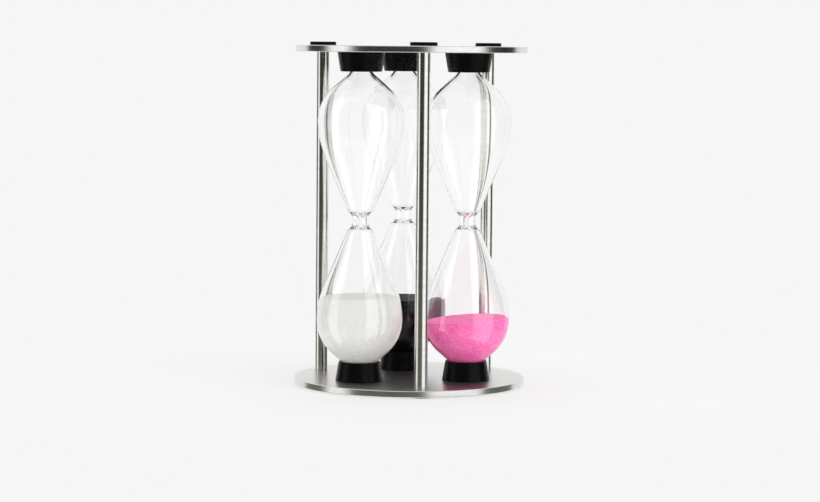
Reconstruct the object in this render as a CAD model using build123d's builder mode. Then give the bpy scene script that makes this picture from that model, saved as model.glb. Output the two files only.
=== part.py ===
"""Tea timer: three sand glasses in rubber cups, between two round plates on three rods.

Millimetres, +Z up. The origin is on the stand's axis, on the surface that the base pads stand on.
"""

import math
import os

from build123d import *

# Plates
plate_diameter = 90.0
plate_thickness = 2.5
plate_edge_radius = 0.3

# Rods, and the shallow seats in the plates that their ends stand in
rod_diameter = 5.0
rod_edge_distance = 7.0
rod_edge_chamfer = 0.3
rod_seat_depth = 0.45
rod_seat_clearance = 0.3
rod_sides = ("front", "right", "left")
front_rod_angle = -90.0

# Countersunk screws that hold the rods
screw_diameter = 3.0
screw_head_height = 1.3
screw_engagement = 7.0
screw_clearance = 0.1
screw_head_sink = 0.1
screw_hole_clearance = 0.15
screw_socket_width = 2.0
screw_socket_depth = 1.0
tapped_hole_spare = 1.5

# Round rubber pads over the screws, on the outside of both plates
pad_diameter = 10.3
top_pad_thickness = 1.4
base_pad_thickness = 0.5
pad_edge_radius = 0.3

# Blown glass, measured from its waist: both halves are alike
glass_edge_distance = 21.0
glass_colours = ("pink", "black", "white")
glass_wall = 0.8
waist_radius = 3.25
waist_half_height = 2.2
waist_corner_radius = 2.0
funnel_radius = 5.0
funnel_height = 3.95
funnel_angle = 22.7
funnel_curve_radius = 33.0
bulb_radius = 16.55
shoulder_curve_radius = 16.9
shoulder_angle = 48.5
shoulder_height = 57.0
belly_curve_limit = 0.99
stub_radius = 4.1
stub_flare_radius = 3.0
stub_end_radius = 1.5
bore_end_radius = 1.1
orifice_radius = 0.7
orifice_half_height = 1.9
orifice_corner_radius = 2.9
bulb_floor_height = 3.7
bulb_floor_radius = 2.0

# Rubber cups that hold the stubs of the glasses
cup_height = 7.5
cup_floor = 0.8
cup_bore_clearance = 0.3
cup_seat_width = 3.05
cup_lip_width = 0.57
cup_taper = 1.23
cup_lip_radius = 0.5
cup_foot_radius = 0.2
cup_rim_radius = 0.2
cup_bore_corner_radius = 0.4

# How the glasses sit: low on the lower cups, free to slide up to the upper ones
glass_seat_gap = 0.25
glass_float = 2.8
stub_end_gap = 0.5

# Fill plugs and sand
plug_length = 3.6
plug_clearance = 0.05
plug_chamfer = 0.4
sand_clearance = 0.1
sand_depths = {"white": 29.3, "black": 33.3, "pink": 38.1}
sand_tilts = {"white": -1.0, "black": 0.0, "pink": -4.0}

# Where the rods and the glasses stand: the glasses halfway between the rods
rod_circle_radius = plate_diameter / 2 - rod_edge_distance
glass_circle_radius = plate_diameter / 2 - glass_edge_distance
rod_step = 360 / len(rod_sides)
rod_angles = {side: front_rod_angle + rod_step * i for i, side in enumerate(rod_sides)}
glass_angles = {
    colour: front_rod_angle + rod_step * (i + 0.5) for i, colour in enumerate(glass_colours)
}

# The belly's two curves, drawn in together where the wall between their corners is too short for them
funnel_slope = math.tan(math.radians(funnel_angle))
shoulder_slope = math.tan(math.radians(shoulder_angle))
funnel_corner_height = funnel_height + (bulb_radius - funnel_radius) / funnel_slope
shoulder_corner_height = shoulder_height - (bulb_radius - stub_radius) / shoulder_slope
belly_wall = shoulder_corner_height - funnel_corner_height
funnel_curve_run = funnel_curve_radius * math.tan(math.radians(funnel_angle / 2))
shoulder_curve_run = shoulder_curve_radius * math.tan(math.radians(shoulder_angle / 2))
belly_fit = min(1.0, belly_curve_limit * belly_wall / (funnel_curve_run + shoulder_curve_run))

# Cup sizes that follow the glass
cup_bore_radius = stub_radius + cup_bore_clearance
cup_seat_radius = cup_bore_radius + cup_seat_width
cup_mouth_radius = cup_seat_radius + cup_lip_width
cup_foot_outer_radius = cup_mouth_radius + cup_taper
cup_seat_depth = cup_seat_width / shoulder_slope

# The height where the glass shoulder meets the cup's mouth, and what follows from it
contact_radius = cup_seat_radius - glass_seat_gap / math.cos(math.radians(shoulder_angle))
contact_height = shoulder_height - (contact_radius - stub_radius) / shoulder_slope
waist_to_plate = cup_height + contact_height
stub_end_height = waist_to_plate - cup_floor - stub_end_gap
plate_spacing = 2 * waist_to_plate + glass_float

# Heights of the plates' faces and of the waists
base_outer_z = base_pad_thickness
base_inner_z = base_outer_z + plate_thickness
top_inner_z = base_inner_z + plate_spacing
top_outer_z = top_inner_z + plate_thickness
waist_z = base_inner_z + waist_to_plate

# Rod and screw lengths
rod_length = plate_spacing + 2 * rod_seat_depth
screw_length = plate_thickness - rod_seat_depth - screw_head_sink + screw_engagement
screw_head_radius = screw_diameter / 2 + screw_head_height
countersink_radius = screw_head_radius + screw_head_sink + screw_clearance
countersink_angle = 90.0
screw_hole_radius = screw_diameter / 2 + screw_hole_clearance
tapped_hole_radius = screw_diameter / 2 + screw_clearance
tapped_hole_depth = screw_engagement + tapped_hole_spare

UP = 1
DOWN = -1


def on_circle(radius, angle, height):
    """A point on a circle about the stand's axis."""
    turn = math.radians(angle)
    return Vector(radius * math.cos(turn), radius * math.sin(turn), height)


def facing(point, direction):
    """A level plane at a point, facing up or down."""
    return Plane(origin=point, x_dir=(1, 0, 0), z_dir=(0, 0, direction))


def upright(point, direction=UP):
    """A plane for a turned profile: its x runs outwards, its y away from the point, up or down."""
    return Plane(origin=point, x_dir=(1, 0, 0), z_dir=(0, -direction, 0))


def save(piece, name):
    """Labels a finished piece and writes it to its own file."""
    piece.part.label = name
    export_step(piece.part, f"parts/{name}.step")


def make_plate(name, outer_z, inward):
    """A round plate with countersunk holes from outside and rod seats from inside."""
    inner_z = outer_z + inward * plate_thickness
    holes = [facing(on_circle(rod_circle_radius, a, outer_z), -inward) for a in rod_angles.values()]
    seats = [facing(on_circle(rod_circle_radius, a, inner_z), inward) for a in rod_angles.values()]
    with BuildPart() as plate:
        with BuildSketch(facing((0, 0, outer_z), inward)):
            Circle(plate_diameter / 2)
        extrude(amount=plate_thickness)
        fillet(plate.edges(), plate_edge_radius)
        with Locations(*holes):
            CounterSinkHole(
                screw_hole_radius,
                countersink_radius,
                counter_sink_angle=countersink_angle,
            )
        with Locations(*seats):
            Hole(rod_diameter / 2 + rod_seat_clearance, depth=rod_seat_depth)
    save(plate, name)


def make_rod(name, angle):
    """A round rod with a tapped hole in each end."""
    foot = on_circle(rod_circle_radius, angle, base_inner_z - rod_seat_depth)
    head = on_circle(rod_circle_radius, angle, top_inner_z + rod_seat_depth)
    with BuildPart() as rod:
        with BuildSketch(facing(foot, UP)):
            Circle(rod_diameter / 2)
        extrude(amount=rod_length)
        chamfer(rod.edges().filter_by(GeomType.CIRCLE), rod_edge_chamfer)
        with Locations(facing(foot, DOWN), facing(head, UP)):
            Hole(tapped_hole_radius, depth=tapped_hole_depth)
    save(rod, name)


def make_screws(name, outer_z, inward):
    """Three countersunk screws with hexagon sockets, heads just below the plate's outer face."""
    with BuildPart() as screws:
        for angle in rod_angles.values():
            head = on_circle(rod_circle_radius, angle, outer_z + inward * screw_head_sink)
            with BuildSketch(upright(head, inward)):
                with BuildLine():
                    Polyline(
                        (0, 0),
                        (screw_head_radius, 0),
                        (screw_diameter / 2, screw_head_height),
                        (screw_diameter / 2, screw_length),
                        (0, screw_length),
                        close=True,
                    )
                make_face()
            revolve(axis=Axis(head, (0, 0, 1)))
            with BuildSketch(facing(head, -inward)):
                RegularPolygon(screw_socket_width / 2, 6, major_radius=False)
            extrude(amount=-screw_socket_depth, mode=Mode.SUBTRACT)
    save(screws, name)


def make_pad(name, angle, outer_z, outward, thickness):
    """A round pad, stuck on a plate over a screw, with a rounded outer edge."""
    with BuildPart() as pad:
        with BuildSketch(facing(on_circle(rod_circle_radius, angle, outer_z), outward)):
            Circle(pad_diameter / 2)
        extrude(amount=thickness)
        free_face = pad.faces().sort_by(Axis((0, 0, 0), (0, 0, outward)))[-1]
        fillet(free_face.edges(), pad_edge_radius)
    save(pad, name)


def make_cup(name, angle, plate_z, direction):
    """A tapered cup that stands on a plate, with a conical seat and a blind bore for a glass stub."""
    foot = on_circle(glass_circle_radius, angle, plate_z)
    with BuildPart() as cup:
        with BuildSketch(upright(foot, direction)):
            with BuildLine():
                FilletPolyline(
                    (0, 0),
                    (cup_foot_outer_radius, 0),
                    (cup_mouth_radius, cup_height),
                    (cup_seat_radius, cup_height),
                    (cup_bore_radius, cup_height - cup_seat_depth),
                    (cup_bore_radius, cup_floor),
                    (0, cup_floor),
                    radius=[
                        cup_foot_radius,
                        cup_lip_radius,
                        cup_rim_radius,
                        stub_flare_radius - glass_seat_gap,
                        cup_bore_corner_radius,
                    ],
                )
                Line((0, cup_floor), (0, 0))
            make_face()
        revolve(axis=Axis(foot, (0, 0, 1)))
    save(cup, name)


def funnel_wall(inset, height):
    """The point of the funnel's wall line at a height, moved inwards by inset."""
    start = funnel_radius - inset / math.cos(math.radians(funnel_angle))
    return (start + funnel_slope * (height - funnel_height), height)


def bulb_corners(inset):
    """Corners of one bulb's wall line, moved inwards by inset: at the stub and on both sides of the belly."""
    belly = bulb_radius - inset
    bore = stub_radius - inset
    shoulder_end = stub_radius - inset / math.cos(math.radians(shoulder_angle))
    stub_z = shoulder_height - (bore - shoulder_end) / shoulder_slope
    shoulder_z = shoulder_height - (belly - shoulder_end) / shoulder_slope
    funnel_z = (belly - funnel_wall(inset, 0)[0]) / funnel_slope
    return [
        ((bore, stub_z), stub_flare_radius + inset),
        ((belly, shoulder_z), shoulder_curve_radius * belly_fit - inset),
        ((belly, funnel_z), funnel_curve_radius * belly_fit - inset),
    ]


def outer_corners():
    """Corners of the outside of one half of a glass, from the stub's corner down to the waist."""
    return bulb_corners(0) + [
        ((funnel_radius, funnel_height), waist_corner_radius),
        ((waist_radius, waist_half_height), waist_corner_radius),
    ]


def inner_corners(inset):
    """Corners of the inside of one bulb, from the stub's corner down to the orifice."""
    return bulb_corners(inset) + [
        (funnel_wall(inset, bulb_floor_height), bulb_floor_radius),
        ((orifice_radius, orifice_half_height), orifice_corner_radius),
    ]


def below_waist(corners):
    """The same corners on the other side of the waist, in the order that continues the line."""
    return [((x, -y), radius) for (x, y), radius in reversed(corners)]


def make_glass(name, angle):
    """A blown glass: two bulbs joined at the waist, one stub open for filling and one closed."""
    waist = on_circle(glass_circle_radius, angle, waist_z)
    bore = stub_radius - glass_wall
    closed_end = glass_wall - stub_end_height
    outside = outer_corners() + below_waist(outer_corners())
    inside = inner_corners(glass_wall) + below_waist(inner_corners(glass_wall))
    outside.append(((stub_radius, -stub_end_height), stub_end_radius))
    inside.append(((bore, closed_end), bore_end_radius))
    with BuildPart() as glass:
        with BuildSketch(upright(waist)):
            with BuildLine():
                FilletPolyline(
                    (stub_radius, stub_end_height),
                    *[point for point, radius in outside],
                    (0, -stub_end_height),
                    radius=[radius for point, radius in outside],
                )
                FilletPolyline(
                    (bore, stub_end_height),
                    *[point for point, radius in inside],
                    (0, closed_end),
                    radius=[radius for point, radius in inside],
                )
                Line((stub_radius, stub_end_height), (bore, stub_end_height))
                Line((0, -stub_end_height), (0, closed_end))
            make_face()
        revolve(axis=Axis(waist, (0, 0, 1)))
    save(glass, name)


def make_sand(name, angle, depth, tilt):
    """Sand that fills a lower bulb up to a level below the waist, its surface tilted a little."""
    waist = on_circle(glass_circle_radius, angle, waist_z)
    inset = glass_wall + sand_clearance
    bottom = inset - stub_end_height
    corners = below_waist(bulb_corners(inset))
    corners.append(((stub_radius - inset, bottom), bore_end_radius))
    surface = Plane(waist - Vector(0, 0, depth)).rotated((0, tilt, 0))
    with BuildPart() as sand:
        with BuildSketch(upright(waist)):
            with BuildLine():
                neck = funnel_wall(inset, bulb_floor_height)[0]
                FilletPolyline(
                    (0, -bulb_floor_height),
                    (neck, -bulb_floor_height),
                    *[point for point, radius in corners],
                    (0, bottom),
                    radius=[0] + [radius for point, radius in corners],
                )
                Line((0, bottom), (0, -bulb_floor_height))
            make_face()
        revolve(axis=Axis(waist, (0, 0, 1)))
        split(bisect_by=surface, keep=Keep.BOTTOM)
    save(sand, name)


def make_plug(name, angle):
    """A plug that closes the open stub of a glass."""
    top = on_circle(glass_circle_radius, angle, waist_z + stub_end_height)
    with BuildPart() as plug:
        with BuildSketch(facing(top, DOWN)):
            Circle(stub_radius - glass_wall - plug_clearance)
        extrude(amount=plug_length)
        chamfer(plug.faces().sort_by(Axis.Z)[0].edges(), plug_chamfer)
    save(plug, name)


os.makedirs("parts", exist_ok=True)

make_plate("base_plate", base_outer_z, UP)
make_plate("top_plate", top_outer_z, DOWN)
make_screws("base_screws", base_outer_z, UP)
make_screws("top_screws", top_outer_z, DOWN)

for side, rod_angle in rod_angles.items():
    make_rod(f"rod_{side}", rod_angle)
    make_pad(f"base_pad_{side}", rod_angle, base_outer_z, DOWN, base_pad_thickness)
    make_pad(f"top_pad_{side}", rod_angle, top_outer_z, UP, top_pad_thickness)

for colour, glass_angle in glass_angles.items():
    make_cup(f"lower_cup_{colour}", glass_angle, base_inner_z, UP)
    make_cup(f"upper_cup_{colour}", glass_angle, top_inner_z, DOWN)
    make_glass(f"glass_{colour}", glass_angle)
    make_sand(f"sand_{colour}", glass_angle, sand_depths[colour], sand_tilts[colour])
    make_plug(f"fill_plug_{colour}", glass_angle)
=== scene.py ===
"""Tea timer: three sand glasses in rubber cups, between two brushed steel plates on three rods.

Laid out as an add-on and run as a script. Metres, +Z up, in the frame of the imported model.
"""

import math

import bmesh
import bpy
from bpy.props import FloatProperty, FloatVectorProperty, IntProperty, PointerProperty
from mathutils import Euler, Matrix, Vector, noise


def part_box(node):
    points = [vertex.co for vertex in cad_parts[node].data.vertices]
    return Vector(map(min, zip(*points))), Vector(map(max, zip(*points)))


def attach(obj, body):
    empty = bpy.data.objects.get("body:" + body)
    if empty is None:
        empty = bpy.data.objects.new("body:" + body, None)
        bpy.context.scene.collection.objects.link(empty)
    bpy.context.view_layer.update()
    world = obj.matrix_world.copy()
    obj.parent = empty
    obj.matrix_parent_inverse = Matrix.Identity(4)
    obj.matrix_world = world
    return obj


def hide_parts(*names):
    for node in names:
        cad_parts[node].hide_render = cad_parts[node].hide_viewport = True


bl_info = {
    "name": "Tea timer",
    "version": (1, 0, 0),
    "blender": (4, 5, 0),
    "location": "3D View > Sidebar > Tea timer",
    "description": "Steel stand, rubber cups, blown glass and sand of a three-glass tea timer",
    "category": "Object",
}

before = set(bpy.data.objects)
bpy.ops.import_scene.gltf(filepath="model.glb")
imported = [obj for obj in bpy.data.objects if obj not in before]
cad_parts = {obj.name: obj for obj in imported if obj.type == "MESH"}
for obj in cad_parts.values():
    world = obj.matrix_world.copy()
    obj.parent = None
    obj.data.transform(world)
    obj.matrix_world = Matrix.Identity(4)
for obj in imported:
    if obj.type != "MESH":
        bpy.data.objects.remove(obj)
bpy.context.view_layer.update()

SIDES = ("front", "right", "left")
COLOURS = ("white", "pink", "black")
RODS = [f"rod_{side}" for side in SIDES]


# Readings of the frame

def span(node):
    """Size of a node's box along each axis."""
    low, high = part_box(node)
    return high - low


def middle(node):
    """Middle of a node's box."""
    low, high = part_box(node)
    return (low + high) / 2


# Settings that a user would change

def setting(kind, **traits):
    """A maker of settings of one kind, each with its name, description and default."""
    return lambda name, description, default: kind(
        name=name, description=description, default=default, **traits
    )


length = setting(FloatProperty, unit="LENGTH", precision=5)
share = setting(FloatProperty, min=0, max=1, subtype="FACTOR")
colour = setting(FloatVectorProperty, size=3, min=0, max=1, subtype="COLOR")
amount = setting(FloatProperty)
count = setting(IntProperty, min=3)


def angle(name, description, degrees):
    """An angle setting, given in degrees."""
    return setting(FloatProperty, subtype="ANGLE")(name, description, math.radians(degrees))


class StandSettings(bpy.types.PropertyGroup):
    """Sizes and finish of the plates and rods."""

    plate_radius: length("Plate radius", "Radius of both plates", span("base_plate").x / 2)
    plate_thickness: length("Plate thickness", "Sheet thickness", span("base_plate").z)
    plate_edge: length("Plate edge", "Rounding of the rims", 0.0003)
    rod_radius: length("Rod radius", "Radius of the rods", span("rod_front").x / 2)
    rod_edge: length("Rod edge", "Broken edge at the rods' ends", 0.0003)
    seat_depth: length("Seat depth", "Depth of the rods' seats", 0.00045)
    seat_clearance: length("Seat clearance", "Gap round a rod in its seat", 0.0003)
    screw_hole: length("Screw hole", "Radius of the screw holes", 0.00165)
    countersink: length("Countersink", "Radius of a countersink at the face", 0.003)
    tapped_hole: length("Tapped hole", "Radius of the rods' holes", 0.0016)
    tapped_depth: length("Tapped depth", "Depth of the rods' holes", 0.0085)
    plate_colour: colour("Plate colour", "Reflection of the plates", (0.76, 0.76, 0.745))
    rod_colour: colour("Rod colour", "Reflection of the rods", (0.78, 0.78, 0.745))
    plate_roughness: share("Plate roughness", "Satin of the plates", 0.3)
    rim_roughness: share("Rim roughness", "Satin of the plates' rims", 0.2)
    rod_roughness: share("Rod roughness", "Satin of the rods", 0.19)
    segments: count("Plate segments", "Steps round a plate", 256)
    rod_segments: count("Rod segments", "Steps round a rod", 72)


class RubberSettings(bpy.types.PropertyGroup):
    """Sizes and finish of the pads and cups."""

    pad_radius: length("Pad radius", "Radius of a pad", span("top_pad_front").x / 2)
    top_pad: length("Top pad", "Thickness of the pads on top", span("top_pad_front").z)
    base_pad: length("Base pad", "Thickness of the pads below", span("base_pad_front").z)
    pad_edge: length("Pad edge", "Rounding of a pad's free edge", 0.0003)
    pad_foot: length("Pad foot", "Rounding of a pad's glued edge", 0.00005)
    cup_radius: length("Cup foot", "Radius of a cup at its plate", span("lower_cup_white").x / 2)
    cup_height: length("Cup height", "Height of a cup", span("lower_cup_white").z)
    cup_taper: length("Cup taper", "Narrowing to the mouth", 0.00123)
    cup_lip: length("Cup lip", "Width of the flat lip", 0.00057)
    cup_seat: length("Cup seat", "Width of the sloped seat", 0.00305)
    cup_floor: length("Cup floor", "Thickness under the bore", 0.0008)
    lip_edge: length("Lip edge", "Rounding outside the lip", 0.0005)
    seat_edge: length("Seat edge", "Rounding inside the lip", 0.0002)
    bore_edge: length("Bore edge", "Rounding between seat and bore", 0.00275)
    foot_edge: length("Foot edge", "Rounding at the plate", 0.0002)
    floor_edge: length("Floor edge", "Rounding at the bore's floor", 0.0004)
    rubber_colour: colour("Rubber colour", "Colour of cups and pads", (0.0014, 0.0014, 0.0014))
    segments: count("Rubber segments", "Steps round a cup or pad", 112)


class GlassSettings(bpy.types.PropertyGroup):
    """Sizes of a blown glass, measured from its waist."""

    wall: length("Wall", "Thickness of the glass", 0.0008)
    waist_radius: length("Waist radius", "Radius of the pinched waist", 0.00325)
    waist_height: length("Waist half height", "Half height of the waist", 0.0022)
    waist_edge: length("Waist edge", "Rounding at the waist", 0.002)
    funnel_radius: length("Funnel radius", "Radius where a funnel starts", 0.005)
    funnel_height: length("Funnel height", "Height where a funnel starts", 0.00395)
    funnel_angle: angle("Funnel angle", "Slope of the funnels from upright", 22.7)
    funnel_curve: length("Funnel curve", "Rounding between funnel and belly", 0.033)
    bulb_radius: length("Bulb radius", "Radius of a bulb at its belly", 0.01655)
    shoulder_curve: length("Shoulder curve", "Rounding between belly and shoulder", 0.0169)
    shoulder_angle: angle("Shoulder angle", "Slope of the shoulders from upright", 48.5)
    shoulder_height: length("Shoulder height", "Height of a shoulder's end", 0.057)
    stub_radius: length("Stub radius", "Radius of the stubs in the cups", 0.0041)
    stub_flare: length("Stub flare", "Rounding between shoulder and stub", 0.003)
    stub_edge: length("Stub end", "Rounding of the closed end", 0.0015)
    bore_edge: length("Bore end", "Rounding inside the closed end", 0.0011)
    rim_edge: length("Stub rim", "Rounding of the open stub's rim", 0.0003)
    orifice_radius: length("Orifice radius", "Radius of the hole for the sand", 0.0007)
    orifice_height: length("Orifice half height", "Half height of the hole", 0.0019)
    orifice_edge: length("Orifice edge", "Rounding of the hole's ends", 0.0029)
    floor_height: length("Bulb floor", "Height of a bulb's floor", 0.0037)
    floor_edge: length("Floor edge", "Rounding of a bulb's floor", 0.002)
    segments: count("Glass segments", "Steps round a glass", 256)


class SandSettings(bpy.types.PropertyGroup):
    """Levels and colours of the sand."""

    contact: length("Contact", "Depth of the sand in the glass wall", 0.00004)
    white_depth: length("White level", "Level below the waist", 0.0293)
    black_depth: length("Black level", "Level below the waist", 0.0333)
    pink_depth: length("Pink level", "Level below the waist", 0.0381)
    white_tilt: angle("White tilt", "Tilt of the white surface", -1)
    black_tilt: angle("Black tilt", "Tilt of the black surface", 0)
    pink_tilt: angle("Pink tilt", "Tilt of the pink surface", -4)
    unevenness: length("Unevenness", "Height of the surface's ripples", 0.00022)
    grains: amount("Grains", "Grains in a metre", 2600)
    white_colour: colour("White sand", "Colour of the white sand", (0.73, 0.73, 0.70))
    black_colour: colour("Black sand", "Colour of the black sand", (0.003, 0.003, 0.003))
    pink_colour: colour("Pink sand", "Colour of the pink sand", (1.0, 0.142, 0.43))


class StudioSettings(bpy.types.PropertyGroup):
    """Camera, light and floor."""

    azimuth: angle("Camera azimuth", "Angle left of the front", 6.8)
    distance: length("Camera distance", "Distance from the axis", 0.984)
    height: length("Camera height", "Height of the lens", 0.1308)
    pitch: angle("Camera pitch", "How far the camera looks down", 4.57)
    roll: angle("Camera roll", "Turn about the line of sight", 0.5)
    lens: setting(FloatProperty, unit="CAMERA")("Lens", "Focal length in mm", 110.9)
    background: amount("Background", "Brightness of floor and backdrop", 0.9215)
    clear: amount("Clear", "How much brighter the backdrop is through glass", 1.045)
    ambient: amount("Ambient", "Brightness of the room for soft light", 0.78)
    bounce: amount("Bounce", "Brightness of the floor for soft light", 1.15)
    key: amount("Key light", "Brightness of the right softbox for soft light", 1.4)
    side: amount("Side light", "Brightness of the left softbox for soft light", 0.8)
    softbox: amount("Softbox", "Brightness of the softboxes as seen", 1.25)
    glint: amount("Glint", "How much brighter softboxes are in glass", 2.55)
    thrown: amount("Thrown light", "Brightness of the room as steel throws it onto sand", 1.35)
    ceiling: amount("Ceiling", "Brightness of the room high up, as steel sees it", 0.75)
    edge: amount("Softbox edge", "Soft edge of a softbox in degrees", 7)
    fill: amount("Back fill", "Brightness of the fill from behind", 1.1)


SETTINGS = {
    "timer_stand": StandSettings,
    "timer_rubber": RubberSettings,
    "timer_glass": GlassSettings,
    "timer_sand": SandSettings,
    "timer_studio": StudioSettings,
}


# Node building

def add_node(tree, kind, inputs=None, **settings):
    """Adds a node, sets its properties, then sets or links its inputs."""
    node = tree.nodes.new(kind)
    for name, value in settings.items():
        setattr(node, name, value)
    for key, value in (inputs or {}).items():
        if isinstance(value, bpy.types.NodeSocket):
            tree.links.new(value, node.inputs[key])
        else:
            node.inputs[key].default_value = value
    return node


def output(tree, kind, inputs=None, **settings):
    """Adds a node and returns its first output."""
    return add_node(tree, kind, inputs, **settings).outputs[0]


def new_group(name, kind, inputs, outputs):
    """A node group with named sockets. Returns it, what it is given and what it has to fill."""
    tree = bpy.data.node_groups.new(name, kind)
    for way, sockets in (("INPUT", inputs), ("OUTPUT", outputs)):
        for label, socket_type in sockets.items():
            tree.interface.new_socket(label, in_out=way, socket_type="NodeSocket" + socket_type)
    given = tree.nodes.new("NodeGroupInput").outputs
    return tree, given, tree.nodes.new("NodeGroupOutput").inputs


def shared_group(name):
    """The named node group, built on first use."""
    return bpy.data.node_groups.get(name) or GROUPS[name](name)


def math_node(tree, operation, first, second=0.0, third=0.0):
    """The result of one sum."""
    return output(tree, "ShaderNodeMath", {0: first, 1: second, 2: third}, operation=operation)


def combine(tree, **parts):
    """A vector from its parts."""
    return output(tree, "ShaderNodeCombineXYZ", parts)


def separate(tree, vector):
    """The parts of a vector."""
    return add_node(tree, "ShaderNodeSeparateXYZ", {"Vector": vector}).outputs


# Geometry trees

SWEEP = 0.05  # Radius of the circle that an outline is swept along
STEPS_PER_METRE = 560.0  # Steps in a rounding for each metre of its radius
LEAST_STEPS = 8.0  # Steps that every rounding has besides
TURNED_WELD = 1e-6  # Points nearer than this are merged in a turned piece
CUT_WELD = 2e-6  # Points nearer than this are merged in a cut plate

SHAPE = {"Outline": "Object", "Segments": "Int"}
HOLLOW = {"Hollow": "Object", "Hollow Segments": "Int"}
RING = {"Copies": "Int", **dict.fromkeys(("Ring", "Start", "Height", "Turn Over"), "Float")}
MATERIAL = {"Material": "Material"}
MESH = {"Mesh": "Geometry"}


def weld(tree, geometry, distance):
    """Merges points that are nearer than a distance."""
    inputs = {"Geometry": geometry, "Distance": distance}
    return output(tree, "GeometryNodeMergeByDistance", inputs)


def turning_group(name):
    """Turns an outline about the Z axis. A point's radius in the outline rounds that corner."""
    tree, given, result = new_group(name, "GeometryNodeTree", SHAPE, MESH)
    outline = add_node(tree, "GeometryNodeObjectInfo", {"Object": given["Outline"]})
    rounding = output(tree, "GeometryNodeInputRadius")
    steps = math_node(tree, "MULTIPLY_ADD", rounding, STEPS_PER_METRE, LEAST_STEPS)
    inputs = {"Curve": outline.outputs["Geometry"], "Count": steps, "Radius": rounding}
    rounded = output(tree, "GeometryNodeFilletCurve", inputs, mode="POLY")
    parts = separate(tree, output(tree, "GeometryNodeInputPosition"))
    out = math_node(tree, "SUBTRACT", parts["X"], SWEEP)
    down = math_node(tree, "MULTIPLY", parts["Y"], -1.0)
    inputs = {"Geometry": rounded, "Position": combine(tree, X=out, Y=down)}
    profile = output(tree, "GeometryNodeSetPosition", inputs)
    inputs = {"Resolution": given["Segments"], "Radius": SWEEP}
    circle = output(tree, "GeometryNodeCurvePrimitiveCircle", inputs)
    path = output(tree, "GeometryNodeSetCurveNormal", {"Curve": circle}, mode="Z_UP")
    swept = output(tree, "GeometryNodeCurveToMesh", {"Curve": path, "Profile Curve": profile})
    closed = weld(tree, swept, TURNED_WELD)
    outward = output(tree, "GeometryNodeFlipFaces", {"Mesh": closed})
    inputs = {"Geometry": outward, "Shade Smooth": True}
    tree.links.new(output(tree, "GeometryNodeSetShadeSmooth", inputs), result["Mesh"])
    return tree


def turned(tree, outline, segments):
    """The piece that an outline makes when it is turned."""
    inputs = {"Outline": outline, "Segments": segments}
    return output(tree, "GeometryNodeGroup", inputs, node_tree=shared_group("Turning"))


def moved(tree, geometry, place, turn):
    """Geometry that is turned about the origin and then set at a place."""
    inputs = {"Geometry": geometry, "Translation": place, "Rotation": turn}
    return output(tree, "GeometryNodeTransform", inputs)


def ring_of(tree, given, piece, over):
    """Copies of a piece on a level circle, the first of them at the start angle."""
    inputs = {"Vertices": given["Copies"], "Radius": given["Ring"]}
    circle = output(tree, "GeometryNodeMeshCircle", inputs)
    lift = combine(tree, Z=given["Height"])
    points = moved(tree, circle, lift, combine(tree, Z=given["Start"]))
    turn = output(tree, "FunctionNodeEulerToRotation", {"Euler": over})
    inputs = {"Points": points, "Instance": piece, "Rotation": turn}
    return output(tree, "GeometryNodeInstanceOnPoints", inputs)


def finish_tree(tree, given, geometry, result):
    """Ends a tree in real geometry with its material, and returns it."""
    real = output(tree, "GeometryNodeRealizeInstances", {"Geometry": geometry})
    inputs = {"Geometry": real, "Material": given["Material"]}
    tree.links.new(output(tree, "GeometryNodeSetMaterial", inputs), result["Mesh"])
    return tree


def ring_tree(name):
    """Copies of a turned piece on a circle at a height, upright or turned over."""
    inputs = {**SHAPE, **RING, **MATERIAL}
    tree, given, result = new_group(name, "GeometryNodeTree", inputs, MESH)
    piece = turned(tree, given["Outline"], given["Segments"])
    copies = ring_of(tree, given, piece, combine(tree, X=given["Turn Over"]))
    return finish_tree(tree, given, copies, result)


def plate_tree(name):
    """A turned plate with a ring of turned hollows cut into it, laid at a height."""
    inputs = {**SHAPE, **HOLLOW, **RING, **MATERIAL}
    tree, given, result = new_group(name, "GeometryNodeTree", inputs, MESH)
    blank = turned(tree, given["Outline"], given["Segments"])
    hollow = turned(tree, given["Hollow"], given["Hollow Segments"])
    over = combine(tree, X=given["Turn Over"])
    laid = moved(tree, blank, combine(tree, Z=given["Height"]), over)
    hollows = ring_of(tree, given, hollow, over)
    tools = output(tree, "GeometryNodeRealizeInstances", {"Geometry": hollows})
    inputs = {"Mesh 1": laid, "Mesh 2": tools}
    cut = output(tree, "GeometryNodeMeshBoolean", inputs, operation="DIFFERENCE", solver="EXACT")
    return finish_tree(tree, given, weld(tree, cut, CUT_WELD), result)


def single_tree(name):
    """One turned piece, stood at a place."""
    inputs = {**SHAPE, "Place": "Vector", **MATERIAL}
    tree, given, result = new_group(name, "GeometryNodeTree", inputs, MESH)
    piece = turned(tree, given["Outline"], given["Segments"])
    return finish_tree(tree, given, moved(tree, piece, given["Place"], (0, 0, 0)), result)


# From trees to pieces

def show(data, name):
    """A new object in the scene."""
    piece = bpy.data.objects.new(name, data)
    bpy.context.scene.collection.objects.link(piece)
    return piece


def draw_outline(corners):
    """An outline for turning: points of radius and height, each with its corner's rounding."""
    curve = bpy.data.curves.new("outline", "CURVE")
    curve.dimensions = "3D"
    line = curve.splines.new("POLY")
    line.points.add(len(corners) - 1)
    for point, (radius, height, rounding) in zip(line.points, corners):
        point.co = (radius, height, 0, 1)
        point.radius = rounding
    return show(curve, curve.name)


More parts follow.
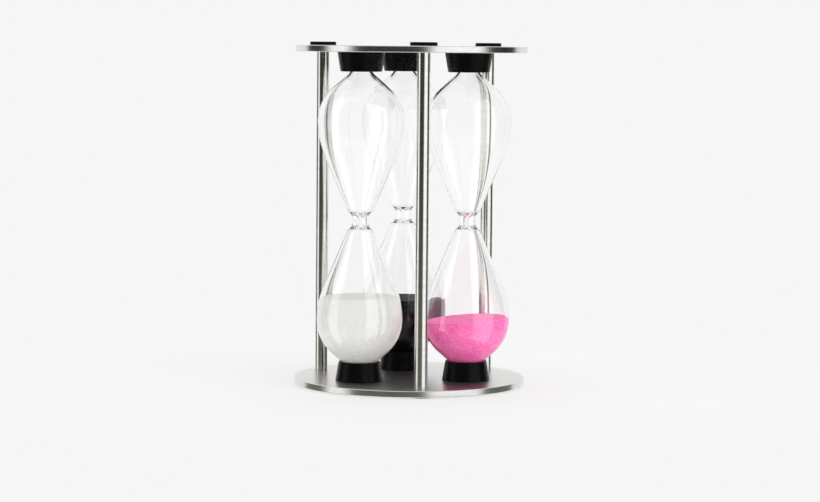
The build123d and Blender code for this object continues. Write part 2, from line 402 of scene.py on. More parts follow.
def bake(name, tree_name, values, even=True):
    """Runs a geometry tree and returns its result as a plain mesh object."""
    tree = shared_group(tree_name)
    carrier = show(bpy.data.meshes.new(name), name + "_carrier")
    modifier = carrier.modifiers.new("Shape", "NODES")
    modifier.node_group = tree
    for item in tree.interface.items_tree:
        if item.in_out == "INPUT":
            modifier[item.identifier] = values[item.name]
    if even:
        carrier.modifiers.new("Even shading", "WEIGHTED_NORMAL")
    graph = bpy.context.evaluated_depsgraph_get()
    mesh = bpy.data.meshes.new_from_object(
        carrier.evaluated_get(graph), preserve_all_data_layers=True, depsgraph=graph
    )
    mesh.name = name
    bpy.data.objects.remove(carrier)
    for value in values.values():
        if isinstance(value, bpy.types.Object):
            bpy.data.objects.remove(value)
    check_closed(name, mesh)
    return show(mesh, name)


def check_closed(name, mesh):
    """Stops if a mesh is open or inside out."""
    shape = bmesh.new()
    shape.from_mesh(mesh)
    open_edges = sum(not edge.is_manifold for edge in shape.edges)
    volume = shape.calc_volume(signed=True)
    shape.free()
    if open_edges or volume <= 0:
        raise ValueError(f"{name} has {open_edges} open edges and a volume of {volume}")


def settle(piece, body, slot, *nodes):
    """Sets a finished piece on its body and hides the nodes that it stands for. The slot that it
    is given is not used.
    """
    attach(piece, body)
    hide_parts(*nodes)


def ring_values(nodes, level, over):
    """Where copies stand: one at each node, on the foot of a level or hung from its top."""
    low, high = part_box(level)
    first = middle(nodes[0])
    return {
        "Copies": len(nodes),
        "Ring": first.xy.length,
        "Start": math.atan2(first.y, first.x),
        "Height": high.z if over else low.z,
        "Turn Over": over,
    }


def ring_piece(name, corners, segments, slot, nodes, over=0.0):
    """Makes turned copies in the place of nodes and settles them on the stand as one piece."""
    piece = bake(name, "Ring of turned pieces", {
        "Outline": draw_outline(corners),
        "Segments": segments,
        **ring_values(nodes, nodes[0], over),
        "Material": finish(slot),
    })
    settle(piece, "stand", slot, *nodes)


def timer_piece(name, corners, tint, slot):
    """Makes a turned piece about the middle of a glass."""
    return bake(name, "Turned piece", {
        "Outline": draw_outline(corners),
        "Segments": bpy.context.scene.timer_glass.segments,
        "Place": middle(f"glass_{tint}"),
        "Material": finish(slot),
    }, even=False)


# Values in materials

def mix(tree, factor, first, second):
    """A value between two others."""
    return output(tree, "ShaderNodeMix", {0: factor, 2: first, 3: second})


def spread(tree, value, low, high, start=0.0, stop=1.0, curve="LINEAR"):
    """A value that goes from low to high while another goes from start to stop."""
    inputs = {"Value": value, "From Min": start, "From Max": stop, "To Min": low, "To Max": high}
    return output(tree, "ShaderNodeMapRange", inputs, interpolation_type=curve)


def around(tree, value, centre, half):
    """A value from 0 to 1, spread over a span about a centre."""
    return spread(tree, value, centre - half, centre + half)


def ramp(tree, value, stops):
    """Colours spread over a value."""
    node = add_node(tree, "ShaderNodeValToRGB", {"Fac": value})
    steps = node.color_ramp.elements
    while len(steps) < len(stops):
        steps.new(0.5)
    for step, (position, tone) in zip(steps, stops):
        step.position = position
        step.color = tone
    return node.outputs["Color"]


def shade(tone, factor, lift=0.0):
    """A colour made darker or lighter, and lifted towards white."""
    return [min(1.0, min(1.0, part * factor) + lift) for part in tone] + [1.0]


def grey(level):
    """A colour without a hue."""
    return (level, level, level, 1)


DARK_STOP, PALE_STOP = 0.3, 0.7  # Where noise counts as low and as high


def two_tones(tree, value, tone, dark, pale):
    """A colour that varies between a dark and a pale shade of itself."""
    return ramp(tree, value, [(DARK_STOP, shade(tone, dark)), (PALE_STOP, shade(tone, pale))])


def bump(tree, height, strength, depth):
    """A normal from a height."""
    inputs = {"Height": height, "Strength": strength, "Distance": depth}
    return output(tree, "ShaderNodeBump", inputs)


def object_place(tree):
    """The place on the object itself."""
    return add_node(tree, "ShaderNodeTexCoord").outputs["Object"]


# Shared shader groups

def soft_noise(tree, place, scale, detail, roughness):
    """Noise from 0 to 1 over a place."""
    inputs = {"Vector": place, "Scale": scale, "Detail": detail, "Roughness": roughness}
    return output(tree, "ShaderNodeTexNoise", inputs)


def brushed_group(name):
    """Fine lines of a brushed surface, drawn out along the axis with the smallest stretch."""
    inputs = {"Vector": "Vector", "Stretch": "Vector"}
    outputs = {"Lines": "Float", "Streaks": "Float"}
    tree, given, result = new_group(name, "ShaderNodeTree", inputs, outputs)
    inputs = {0: given["Vector"], 1: given["Stretch"]}
    drawn = output(tree, "ShaderNodeVectorMath", inputs, operation="MULTIPLY")
    tree.links.new(soft_noise(tree, drawn, 1.0, 4.0, 0.62), result["Lines"])
    tree.links.new(soft_noise(tree, drawn, 0.13, 2.0, 0.5), result["Streaks"])
    return tree


def grain_group(name):
    """Fine grains: a tone for each grain, a relief for the surface, and broad soft patches."""
    inputs = {"Vector": "Vector", "Density": "Float"}
    outputs = {"Tone": "Float", "Relief": "Float", "Patches": "Float"}
    tree, given, result = new_group(name, "ShaderNodeTree", inputs, outputs)
    inputs = {"Vector": given["Vector"], "Scale": given["Density"], "Randomness": 1.0}
    cells = add_node(tree, "ShaderNodeTexVoronoi", inputs).outputs
    tone = output(tree, "ShaderNodeSeparateColor", {"Color": cells["Color"]})
    relief = math_node(tree, "SUBTRACT", 1.0, cells["Distance"])
    wide = math_node(tree, "MULTIPLY", given["Density"], 0.05)
    tree.links.new(tone, result["Tone"])
    tree.links.new(relief, result["Relief"])
    tree.links.new(soft_noise(tree, given["Vector"], wide, 3.0, 0.55), result["Patches"])
    return tree


GROUPS = {
    "Turning": turning_group,
    "Ring of turned pieces": ring_tree,
    "Drilled plate": plate_tree,
    "Turned piece": single_tree,
    "Brushed lines": brushed_group,
    "Fine grain": grain_group,
}


def effect(tree, name, **inputs):
    """A shared shader group with its own inputs. Returns its outputs."""
    return add_node(tree, "ShaderNodeGroup", inputs, node_tree=shared_group(name)).outputs


# Materials

FINISH = "_finish"

# Stretch of the brushed lines along each axis
FACE_LINES = (70.0, 5200.0, 5200.0)
RIM_LINES = (60.0, 60.0, 6500.0)
ROD_LINES = (120.0, 120.0, 5600.0)
SCREW_LINES = (900.0, 900.0, 4000.0)
GLASS_CORDS = (420.0, 420.0, 14.0)

FLAT = 0.7  # Upward part of a normal above which a plate's surface is a face, not its rim
LINE_DEPTH = 0.00004
SKIN_DEPTH = 0.00005
GRAIN_DEPTH = 0.00018
RUBBER_GLOSS = 0.12


def empty_tree(owner):
    """The node tree of a new material or world, with nothing in it."""
    owner.use_nodes = True
    owner.node_tree.nodes.clear()
    return owner.node_tree


def new_material(name, surface, value):
    """A material whose surface is built in its tree, from a value."""
    material = bpy.data.materials.new(name)
    tree = empty_tree(material)
    add_node(tree, "ShaderNodeOutputMaterial", {"Surface": surface(tree, value)})
    return material


def plate_steel(tree, place):
    """Satin sheet, brushed straight across its faces and round its rim."""
    stand = bpy.context.scene.timer_stand
    faces = effect(tree, "Brushed lines", Vector=place, Stretch=FACE_LINES)
    rim = effect(tree, "Brushed lines", Vector=place, Stretch=RIM_LINES)
    normal = add_node(tree, "ShaderNodeNewGeometry").outputs["Normal"]
    upward = math_node(tree, "ABSOLUTE", separate(tree, normal)["Z"])
    flat = math_node(tree, "GREATER_THAN", upward, FLAT)
    face_rough = around(tree, faces["Lines"], stand.plate_roughness, 0.07)
    rim_rough = around(tree, rim["Lines"], stand.rim_roughness, 0.06)
    lines = mix(tree, flat, rim["Lines"], faces["Lines"])
    return {
        "Metallic": 1.0,
        "Base Color": two_tones(tree, faces["Streaks"], stand.plate_colour, 0.93, 1.05),
        "Roughness": mix(tree, flat, rim_rough, face_rough),
        "Normal": bump(tree, lines, 0.10, LINE_DEPTH),
    }


def rod_steel(tree, place):
    """Ground rod, with fine rings from the grinding."""
    stand = bpy.context.scene.timer_stand
    rings = effect(tree, "Brushed lines", Vector=place, Stretch=ROD_LINES)
    return {
        "Metallic": 1.0,
        "Base Color": two_tones(tree, rings["Streaks"], stand.rod_colour, 0.94, 1.04),
        "Roughness": around(tree, rings["Lines"], stand.rod_roughness, 0.05),
        "Normal": bump(tree, rings["Lines"], 0.06, LINE_DEPTH),
    }


def screw_steel(tree, place):
    """Plain turned screw."""
    rings = effect(tree, "Brushed lines", Vector=place, Stretch=SCREW_LINES)
    tones = [(DARK_STOP, (0.5, 0.5, 0.49, 1)), (PALE_STOP, (0.62, 0.62, 0.6, 1))]
    return {
        "Metallic": 1.0,
        "Base Color": ramp(tree, rings["Streaks"], tones),
        "Roughness": spread(tree, rings["Lines"], 0.22, 0.36),
    }


def rubber(tree, place, rough, density, relief):
    """Black moulded rubber with a fine skin."""
    tone = bpy.context.scene.timer_rubber.rubber_colour
    skin = effect(tree, "Fine grain", Vector=place, Density=density)
    return {
        "Specular IOR Level": RUBBER_GLOSS,
        "Base Color": two_tones(tree, skin["Patches"], tone, 0.7, 1.5),
        "Roughness": around(tree, skin["Tone"], rough, 0.06),
        "Normal": bump(tree, skin["Relief"], relief, SKIN_DEPTH),
    }


def sand(tree, place, tint, contrast, lift, gloss):
    """Dry sand: every grain has its own tone and stands a little proud."""
    settings = bpy.context.scene.timer_sand
    tone = getattr(settings, f"{tint}_colour")
    grains = effect(tree, "Fine grain", Vector=place, Density=settings.grains)
    patches = math_node(tree, "MULTIPLY", grains["Patches"], 0.5)
    mixed = math_node(tree, "MULTIPLY_ADD", grains["Tone"], 0.5, patches)
    tones = [
        (0.12, shade(tone, 1.0 - contrast)),
        (0.5, shade(tone, 1.0)),
        (0.86, shade(tone, 1.0 + contrast, lift)),
    ]
    return {
        "Specular IOR Level": gloss,
        "Base Color": ramp(tree, mixed, tones),
        "Roughness": spread(tree, grains["Tone"], 0.45, 0.9),
        "Normal": bump(tree, grains["Relief"], 0.35, GRAIN_DEPTH),
    }


def clear_glass(tree, place):
    """Clear blown glass with faint cords drawn along it."""
    cords = effect(tree, "Brushed lines", Vector=place, Stretch=GLASS_CORDS)
    return {
        "IOR": 1.47,
        "Transmission Weight": 1.0,
        "Base Color": ramp(tree, cords["Lines"], [(0.3, grey(0.985)), (0.6, grey(1))]),
        "Roughness": 0.0,
    }


LOOKS = {
    "plate_steel": (plate_steel,),
    "rod_steel": (rod_steel,),
    "screw_steel": (screw_steel,),
    "clear_glass": (clear_glass,),
    # Roughness, grains in a metre and strength of the relief
    "cup_rubber": (rubber, 0.32, 5200.0, 0.06),
    "pad_rubber": (rubber, 0.6, 3600.0, 0.3),
    "plug_rubber": (rubber, 0.5, 4200.0, 0.2),
    # Contrast between the grains, lift of the palest ones and gloss
    "white_sand": (sand, "white", 0.1, 0.0, 0.2),
    "black_sand": (sand, "black", 0.5, 0.004, 0.03),
    "pink_sand": (sand, "pink", 0.28, 0.1, 0.2),
}


def look_of(tree, name):
    """A Principled shader with the named look, on the object's own coordinates."""
    look, *values = LOOKS[name]
    return output(tree, "ShaderNodeBsdfPrincipled", look(tree, object_place(tree), *values))


def finish(name):
    """The named material, made on first use."""
    full_name = name + FINISH
    return bpy.data.materials.get(full_name) or new_material(full_name, look_of, name)


def paint(name, *nodes):
    """Gives CAD nodes a material."""
    for node in nodes:
        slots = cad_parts[node].data.materials
        slots.clear()
        slots.append(finish(name))


# Outlines of the glasses

def funnel_wall(glass, inset, height):
    """Radius of the funnel at a height, on a wall moved inwards by inset."""
    start = glass.funnel_radius - inset / math.cos(glass.funnel_angle)
    return start + math.tan(glass.funnel_angle) * (height - glass.funnel_height)


def bulb_corners(glass, inset):
    """Corners on both sides of the belly and at the stub, on a wall moved inwards by inset."""
    slope = math.tan(glass.shoulder_angle)
    belly = glass.bulb_radius - inset
    bore = glass.stub_radius - inset
    end = glass.stub_radius - inset / math.cos(glass.shoulder_angle)
    funnel = (belly - funnel_wall(glass, inset, 0)) / math.tan(glass.funnel_angle)
    return [
        (belly, funnel, glass.funnel_curve - inset),
        (belly, glass.shoulder_height - (belly - end) / slope, glass.shoulder_curve - inset),
        (bore, glass.shoulder_height - (bore - end) / slope, glass.stub_flare + inset),
    ]


def other_half(corners):
    """The same corners below the waist, in the order that leads up to it."""
    return [(radius, -height, rounding) for radius, height, rounding in reversed(corners)]


def glass_outline(glass, end):
    """The whole wall of a glass: up the outside, over the open stub and down the inside."""
    bore = glass.stub_radius - glass.wall
    floor = funnel_wall(glass, glass.wall, glass.floor_height)
    outside = [
        (glass.waist_radius, glass.waist_height, glass.waist_edge),
        (glass.funnel_radius, glass.funnel_height, glass.waist_edge),
        *bulb_corners(glass, 0),
    ]
    inside = [
        (glass.orifice_radius, glass.orifice_height, glass.orifice_edge),
        (floor, glass.floor_height, glass.floor_edge),
        *bulb_corners(glass, glass.wall),
    ]
    return [
        (0, -end, 0),
        (glass.stub_radius, -end, glass.stub_edge),
        *other_half(outside),
        *outside,
        (glass.stub_radius, end, glass.rim_edge),
        (bore, end, glass.rim_edge),
        *reversed(inside),
        *reversed(other_half(inside)),
        (bore, glass.wall - end, glass.bore_edge),
        (0, glass.wall - end, 0),
    ]


def sand_outline(glass, inset, end):
    """Everything inside the lower bulb and its stub, up to the bulb's floor at the waist."""
    floor = funnel_wall(glass, inset, glass.floor_height)
    return [
        (0, inset - end, 0),
        (glass.stub_radius - inset, inset - end, glass.bore_edge),
        *other_half(bulb_corners(glass, inset)),
        (floor, -glass.floor_height, 0),
        (0, -glass.floor_height, 0),
    ]


# Surface of the sand

RINGS = 26  # Rings of faces between the rim and the middle
RIPPLES = 260  # How close the ripples lie
ROUGHENING = (0.7, 2.2, 4)  # Fractal noise: falling off, step in scale and octaves
RIM_FADE = 6  # How soon the ripples start, inwards from the rim
SEED_STEP = 10.0  # How far apart the noise of the three surfaces is taken


def ripple(point, seed):
    """Height of the sand's ripples at a point, about 0."""
    return noise.fractal(point * RIPPLES + Vector((seed, 0, 0)), *ROUGHENING)


def level_sand(piece, tint, settings, seed):
    """Cuts a filling at its tilted level and gives it an uneven surface."""
    shape = bmesh.new()
    shape.from_mesh(piece.data)
    place = middle(f"glass_{tint}")
    level = place - Vector((0, 0, getattr(settings, f"{tint}_depth")))
    tilt = getattr(settings, f"{tint}_tilt")
    up = Vector((math.sin(tilt), 0, math.cos(tilt)))
    everything = shape.verts[:] + shape.edges[:] + shape.faces[:]
    bmesh.ops.bisect_plane(
        shape, geom=everything, plane_co=level, plane_no=up, dist=1e-7, clear_outer=True
    )
    sharp = [edge for edge in shape.edges if edge.is_boundary]
    rim = sorted(
        {vert for edge in sharp for vert in edge.verts},
        key=lambda vert: math.atan2(vert.co.y - place.y, vert.co.x - place.x),
    )
    outer = rim
    for ring in range(1, RINGS):
        scale = 1 - ring / RINGS
        inner = []
        for vert in rim:
            point = level + (vert.co - level) * scale
            fade = min(1.0, RIM_FADE * (1 - scale))
            point.z += settings.unevenness * ripple(point, seed) * fade
            inner.append(shape.verts.new(point))
        for index, vert in enumerate(outer):
            after = (index + 1) % len(rim)
            shape.faces.new((vert, outer[after], inner[after], inner[index]))
        outer = inner
    crown = shape.verts.new(sum((vert.co for vert in outer), Vector()) / len(outer))
    for index, vert in enumerate(outer):
        shape.faces.new((vert, outer[(index + 1) % len(rim)], crown))
    for face in shape.faces:
        face.smooth = True
    for edge in sharp:
        edge.smooth = False
    shape.to_mesh(piece.data)
    shape.free()


# Operators

class TIMER_OT_plates(bpy.types.Operator):
    """Make both plates, drilled for the rods and screws"""

    bl_idname = "tea_timer.plates"
    bl_label = "Plates"

    def execute(self, context):
        stand = context.scene.timer_stand
        thick = stand.plate_thickness
        seat = stand.rod_radius + stand.seat_clearance
        plate = [
            (0, 0, 0),
            (stand.plate_radius, 0, stand.plate_edge),
            (stand.plate_radius, thick, stand.plate_edge),
            (0, thick, 0),
        ]
        hollow = [
            (0, -thick, 0),
            (stand.countersink, -thick, 0),
            (stand.countersink, 0, 0),
            (stand.screw_hole, stand.countersink - stand.screw_hole, 0),
            (stand.screw_hole, thick - stand.seat_depth, 0),
            (seat, thick - stand.seat_depth, 0),
            (seat, 2 * thick, 0),
            (0, 2 * thick, 0),
        ]
        for end, over in (("base", 0.0), ("top", math.pi)):
            piece = bake(f"{end}_plate_brushed", "Drilled plate", {
                "Outline": draw_outline(plate),
                "Segments": stand.segments,
                "Hollow": draw_outline(hollow),
                "Hollow Segments": stand.rod_segments,
                **ring_values(RODS, f"{end}_plate", over),
                "Material": finish("plate_steel"),
            })
            settle(piece, "stand", "plate_steel", f"{end}_plate")
        paint("screw_steel", "base_screws", "top_screws")
        return {"FINISHED"}


class TIMER_OT_rods(bpy.types.Operator):
    """Make the three rods, with a tapped hole in each end"""

    bl_idname = "tea_timer.rods"
    bl_label = "Rods"

    def execute(self, context):
        stand = context.scene.timer_stand
        tall = span("rod_front").z
        rod = [
            (0, stand.tapped_depth, 0),
            (stand.tapped_hole, stand.tapped_depth, 0),
            (stand.tapped_hole, 0, 0),
            (stand.rod_radius, 0, stand.rod_edge),
            (stand.rod_radius, tall, stand.rod_edge),
            (stand.tapped_hole, tall, 0),
            (stand.tapped_hole, tall - stand.tapped_depth, 0),
            (0, tall - stand.tapped_depth, 0),
        ]
        ring_piece("rods_ground", rod, stand.rod_segments, "rod_steel", RODS)
        return {"FINISHED"}


class TIMER_OT_pads(bpy.types.Operator):
    """Make the pads over the screws, on the outside of both plates"""

    bl_idname = "tea_timer.pads"
    bl_label = "Pads"

    def execute(self, context):
        sizes = context.scene.timer_rubber
        for end, thick, over in (("top", sizes.top_pad, 0.0), ("base", sizes.base_pad, math.pi)):
            pad = [
                (0, 0, 0),
                (sizes.pad_radius, 0, sizes.pad_foot),
                (sizes.pad_radius, thick, sizes.pad_edge),
                (0, thick, 0),
            ]
            pads = [f"{end}_pad_{side}" for side in SIDES]
            ring_piece(f"{end}_pads_rubber", pad, sizes.segments, "pad_rubber", pads, over)
        return {"FINISHED"}


class TIMER_OT_cups(bpy.types.Operator):
    """Make the six tapered cups that hold the glasses"""

    bl_idname = "tea_timer.cups"
    bl_label = "Cups"

    def execute(self, context):
        sizes = context.scene.timer_rubber
        mouth = sizes.cup_radius - sizes.cup_taper
        seat = mouth - sizes.cup_lip
        bore = seat - sizes.cup_seat
        seat_depth = sizes.cup_seat / math.tan(context.scene.timer_glass.shoulder_angle)
        cup = [
            (0, 0, 0),
            (sizes.cup_radius, 0, sizes.foot_edge),
            (mouth, sizes.cup_height, sizes.lip_edge),
            (seat, sizes.cup_height, sizes.seat_edge),
            (bore, sizes.cup_height - seat_depth, sizes.bore_edge),
            (bore, sizes.cup_floor, sizes.floor_edge),
            (0, sizes.cup_floor, 0),
        ]
        for end, over in (("lower", 0.0), ("upper", math.pi)):
            cups = [f"{end}_cup_{tint}" for tint in COLOURS]
            ring_piece(f"{end}_cups_rubber", cup, sizes.segments, "cup_rubber", cups, over)
        return {"FINISHED"}


class TIMER_OT_glasses(bpy.types.Operator):
    """Make the three blown glasses, each on its own body"""

    bl_idname = "tea_timer.glasses"
    bl_label = "Glasses"

    def execute(self, context):
        glass = context.scene.timer_glass
        for tint in COLOURS:
            node = f"glass_{tint}"
            outline = glass_outline(glass, span(node).z / 2)
            piece = timer_piece(f"{node}_blown", outline, tint, "clear_glass")
            piece.visible_shadow = False
            piece.visible_diffuse = False
            settle(piece, f"{tint}_timer", "clear_glass", node)
            paint("plug_rubber", f"fill_plug_{tint}")
        return {"FINISHED"}


class TIMER_OT_sands(bpy.types.Operator):
    """Make the three fillings of sand, run through into the lower bulbs"""

    bl_idname = "tea_timer.sands"
    bl_label = "Sand"

    def execute(self, context):
        glass = context.scene.timer_glass
        settings = context.scene.timer_sand
        for index, tint in enumerate(COLOURS):
            end = span(f"glass_{tint}").z / 2
            outline = sand_outline(glass, glass.wall - settings.contact, end)
            piece = timer_piece(f"sand_{tint}_filling", outline, tint, f"{tint}_sand")
            level_sand(piece, tint, settings, SEED_STEP * index)
            check_closed(piece.name, piece.data)
            settle(piece, f"{tint}_timer", f"{tint}_sand", f"sand_{tint}")
        return {"FINISHED"}


# Stage

# Angle from the camera and half width of each light, in degrees
LEFT_SOFTBOX = (-75, 14)
RIGHT_SOFTBOX = (47, 29)
BACK_FILL = (180, 40)
# Heights between which each light hangs, and its distance from the axis
SOFTBOX_SPAN = (0.0, 1.4)
FILL_SPAN = (0.05, 1.3)
LAMP_REACH = 1.1

# The wall that steel and glass reflect: its ends in degrees, heights, distance and steps
WALL_TURN = 123
WALL_SPAN = (-1.6, 1.7)
WALL_REACH = 1.25
WALL_STEPS = 48
# Heights on the wall between which the greys change, and the greys over that span
GREY_SPAN = (-0.25, 0.15)
GREYS = ((0.0, 0.12), (0.2, 0.22), (0.33, 0.12), (0.62, 0.05), (0.95, 0.02))
# Heights on the wall between which the table and the ceiling come in and a softbox fades
TABLE_IN_GLASS = (-0.2, -0.5)
TABLE_IN_STEEL = (-0.5, -0.85)
CEILING_IN_STEEL = (0.26, 0.6)
SOFTBOX_FADE = (0.2, 0.45)
# Middle height, half height and soft edge of the softboxes on the wall
SOFTBOX_IN_GLASS = (0.05, 1.55, 0.16)
SOFTBOX_IN_STEEL = (0.68, 0.93, 0.06)
# Tints of the room's dark and bright parts
ROOM_TINTS = [(0.25, (1, 1, 0.88, 1)), (0.75, (1, 1, 0.985, 1))]

FLOOR_RADIUS = 6
SHADOW_FADE = (0.05, 0.22)  # Distances from the axis between which the shadow fades
SHADOW_GLOW = 0.5  # What the floor keeps in full shadow
SHADOW_GREY = 0.45  # What the lamps add to it


def studio_direction(studio, azimuth):
    """Level direction at an angle from the camera, to the right as the camera sees it."""
    turn = math.radians(azimuth) - studio.azimuth
    return Vector((math.sin(turn), -math.cos(turn), 0))


def seen_by(obj, *rays):
    """Leaves an object visible to the named rays only."""
    for ray in ("camera", "diffuse", "glossy", "transmission", "volume_scatter", "shadow"):
        setattr(obj, f"visible_{ray}", ray in rays)


def lamp(name, studio, azimuth, half_width, low, high, brightness):
    """A tall area light at an angle from the camera, aimed at the stand's axis."""
    data = bpy.data.lights.new(name, "AREA")
    data.shape = "RECTANGLE"
    data.size = 2 * LAMP_REACH * math.tan(math.radians(half_width))
    data.size_y = high - low
    data.energy = math.pi * data.size * data.size_y * brightness
    light = show(data, name)
    toward = studio_direction(studio, azimuth)
    light.location = toward * LAMP_REACH + Vector((0, 0, (low + high) / 2))
    light.rotation_euler = toward.to_track_quat("Z", "Y").to_euler()
    seen_by(light, "diffuse", "shadow")


def window(tree, value, centre, half, soft):
    """One inside a span and nought outside it, with a soft change between."""
    offset = math_node(tree, "ABSOLUTE", math_node(tree, "SUBTRACT", value, centre))
    return spread(tree, offset, 0.0, 1.0, half + soft, half - soft, "SMOOTHSTEP")


def emission(tree, strength, tone=(1, 1, 1, 1)):
    """Plain light from a surface."""
    return output(tree, "ShaderNodeEmission", {"Color": tone, "Strength": strength})


def seen_rays(tree, studio):
    """Where a ray shows the stage itself, and how much brighter it is through glass."""
    path = add_node(tree, "ShaderNodeLightPath").outputs
    seen = math_node(tree, "MAXIMUM", path["Is Camera Ray"], path["Is Transmission Ray"])
    seen = math_node(tree, "MAXIMUM", seen, path["Is Glossy Ray"])
    return seen, spread(tree, path["Is Transmission Ray"], 1.0, studio.clear)


def room_light(tree, studio):
    """What steel and glass reflect: a dark room with a pale table and two soft-edged softboxes.

    Clear glass sees the table higher up and the softboxes longer and brighter than steel does,
    and only steel sees the ceiling.
    """
    parts = separate(tree, object_place(tree))
    height = parts["Z"]
    turn = math_node(tree, "ARCTAN2", parts["X"], math_node(tree, "MULTIPLY", parts["Y"], -1.0))
    ahead = math.degrees(studio.azimuth)
    azimuth = math_node(tree, "MULTIPLY_ADD", turn, math.degrees(1), ahead)
    path = add_node(tree, "ShaderNodeLightPath").outputs
    clear = path["Is Singular Ray"]

    greys = spread(tree, height, 0.0, 1.0, *GREY_SPAN)
    dark = ramp(tree, greys, [(at, grey(level)) for at, level in GREYS])
    high_table = spread(tree, height, 0.0, studio.background, *TABLE_IN_GLASS)
    low_table = spread(tree, height, 0.0, studio.background, *TABLE_IN_STEEL)
    ceiling = spread(tree, height, 0.0, studio.ceiling, *CEILING_IN_STEEL)
    ends = math_node(tree, "MAXIMUM", low_table, ceiling)
    dark = math_node(tree, "MAXIMUM", dark, mix(tree, clear, ends, high_table))

    faded = spread(tree, height, studio.softbox, studio.ceiling, *SOFTBOX_FADE)
    bright = mix(tree, clear, faded, studio.softbox * studio.glint)
    left = window(tree, azimuth, *LEFT_SOFTBOX, studio.edge)
    right = window(tree, azimuth, *RIGHT_SOFTBOX, studio.edge)
    in_steel = window(tree, height, *SOFTBOX_IN_STEEL)
    in_glass = window(tree, height, *SOFTBOX_IN_GLASS)
    across = math_node(tree, "MAXIMUM", left, right)
    inside = math_node(tree, "MULTIPLY", across, mix(tree, clear, in_steel, in_glass))

    onto_sand = math_node(tree, "GREATER_THAN", path["Diffuse Depth"], 0.5)
    level = mix(tree, onto_sand, mix(tree, inside, dark, bright), studio.thrown)
    return emission(tree, level, ramp(tree, level, ROOM_TINTS))


def floor_surface(tree, studio):
    """Pale floor: white to the camera, with the object's soft shadow near it."""
    white = grey(studio.background)
    inputs = {0: object_place(tree)}
    radius = add_node(tree, "ShaderNodeVectorMath", inputs, operation="LENGTH").outputs["Value"]
    far = spread(tree, radius, 0.0, 1.0, *SHADOW_FADE, "SMOOTHERSTEP")
    seen, through = seen_rays(tree, studio)
    shadowed = output(tree, "ShaderNodeBsdfDiffuse", {"Color": grey(SHADOW_GREY)})
    glow = emission(tree, SHADOW_GLOW, white)
    near = output(tree, "ShaderNodeAddShader", {0: glow, 1: shadowed})
    plain_white = emission(tree, through, white)
    shown = output(tree, "ShaderNodeMixShader", {0: far, 1: near, 2: plain_white})
    bounce = emission(tree, studio.bounce)
    return output(tree, "ShaderNodeMixShader", {0: seen, 1: bounce, 2: shown})


def stage_mesh(name, shape, material):
    """A new object for the stage, from its shape and its material."""
    mesh = bpy.data.meshes.new(name)
    shape.to_mesh(mesh)
    shape.free()
    mesh.materials.append(material)
    return show(mesh, name)


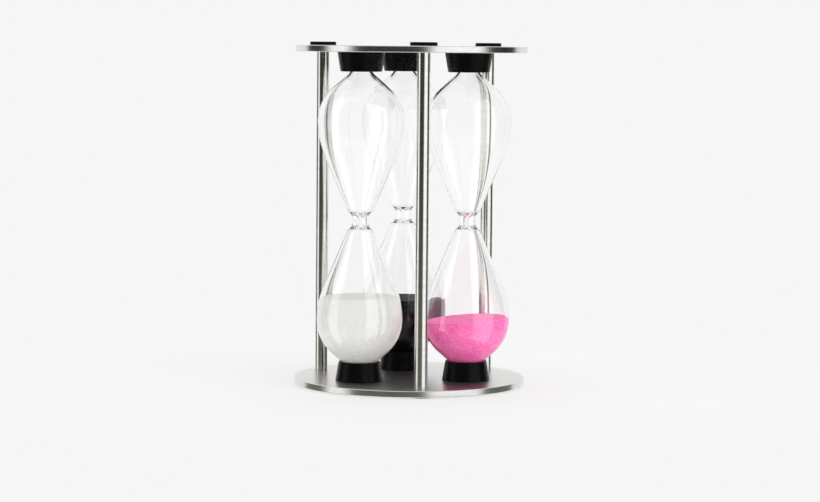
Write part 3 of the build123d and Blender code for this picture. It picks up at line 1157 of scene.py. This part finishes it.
class TIMER_OT_stage(bpy.types.Operator):
    """Set up the floor, the softboxes, the room and the camera"""

    bl_idname = "tea_timer.stage"
    bl_label = "Stage"

    def execute(self, context):
        studio = context.scene.timer_studio
        self.set_room(context.scene, studio)
        self.set_floor(studio)
        lamp("left_softbox", studio, *LEFT_SOFTBOX, *SOFTBOX_SPAN, studio.side)
        lamp("right_softbox", studio, *RIGHT_SOFTBOX, *SOFTBOX_SPAN, studio.key)
        lamp("back_fill", studio, *BACK_FILL, *FILL_SPAN, studio.fill)
        self.set_wall(studio)
        self.set_camera(context.scene, studio)
        context.scene.view_settings.view_transform = "Standard"
        return {"FINISHED"}

    def set_room(self, scene, studio):
        """White room for what is seen, softer for what it lights."""
        scene.world = bpy.data.worlds.new("pale_room")
        tree = empty_tree(scene.world)
        seen, through = seen_rays(tree, studio)
        strength = spread(tree, seen, studio.ambient, studio.background)
        strength = math_node(tree, "MULTIPLY", strength, through)
        room = output(tree, "ShaderNodeBackground", {"Color": (1, 1, 1, 1), "Strength": strength})
        add_node(tree, "ShaderNodeOutputWorld", {"Surface": room})

    def set_floor(self, studio):
        """A wide level floor under the pads."""
        shape = bmesh.new()
        bmesh.ops.create_circle(shape, cap_ends=True, segments=64, radius=FLOOR_RADIUS)
        floor = stage_mesh("floor", shape, new_material("pale_floor", floor_surface, studio))
        floor.visible_glossy = False

    def set_wall(self, studio):
        """An upright wall round the stage, which only reflections show."""
        shape = bmesh.new()
        columns = []
        for step in range(WALL_STEPS + 1):
            azimuth = -WALL_TURN + 2 * WALL_TURN * step / WALL_STEPS
            foot = studio_direction(studio, azimuth) * WALL_REACH
            columns.append([shape.verts.new(foot + Vector((0, 0, z))) for z in WALL_SPAN])
        for left, right in zip(columns, columns[1:]):
            shape.faces.new((left[0], right[0], right[1], left[1]))
        wall = stage_mesh("dark_room", shape, new_material("dark_room", room_light, studio))
        seen_by(wall, "glossy")

    def set_camera(self, scene, studio):
        """A long lens, level with the top plate and a little to the left."""
        data = bpy.data.cameras.new("camera")
        data.sensor_width = 36
        data.lens = studio.lens
        data.clip_start = 0.01
        camera = show(data, "camera")
        turn = Euler((math.pi / 2 - studio.pitch, 0, -studio.azimuth)).to_matrix().to_4x4()
        roll = Matrix.Rotation(studio.roll, 4, "Z")
        back = studio_direction(studio, 0) * studio.distance
        place = Matrix.Translation(back + Vector((0, 0, studio.height)))
        camera.matrix_world = place @ turn @ roll
        scene.camera = camera


OPERATORS = (
    TIMER_OT_plates,
    TIMER_OT_rods,
    TIMER_OT_pads,
    TIMER_OT_cups,
    TIMER_OT_glasses,
    TIMER_OT_sands,
    TIMER_OT_stage,
)


class TIMER_PT_panel(bpy.types.Panel):
    """Lists the timer's pieces and their settings"""

    bl_idname = "TIMER_PT_panel"
    bl_label = "Tea timer"
    bl_space_type = "VIEW_3D"
    bl_region_type = "UI"
    bl_category = "Tea timer"

    def draw(self, context):
        for operator in OPERATORS:
            self.layout.operator(operator.bl_idname)
        for name, group in SETTINGS.items():
            box = self.layout.box()
            for key in group.__annotations__:
                box.prop(getattr(context.scene, name), key)


def register():
    for name, group in SETTINGS.items():
        bpy.utils.register_class(group)
        setattr(bpy.types.Scene, name, PointerProperty(type=group))
    for operator in OPERATORS:
        bpy.utils.register_class(operator)
    bpy.utils.register_class(TIMER_PT_panel)


def unregister():
    bpy.utils.unregister_class(TIMER_PT_panel)
    for operator in reversed(OPERATORS):
        bpy.utils.unregister_class(operator)
    for name, group in SETTINGS.items():
        delattr(bpy.types.Scene, name)
        bpy.utils.unregister_class(group)


def main():
    register()
    bpy.ops.tea_timer.plates()
    bpy.ops.tea_timer.rods()
    bpy.ops.tea_timer.pads()
    bpy.ops.tea_timer.cups()
    bpy.ops.tea_timer.glasses()
    bpy.ops.tea_timer.sands()
    bpy.ops.tea_timer.stage()


if __name__ == "__main__":
    main()
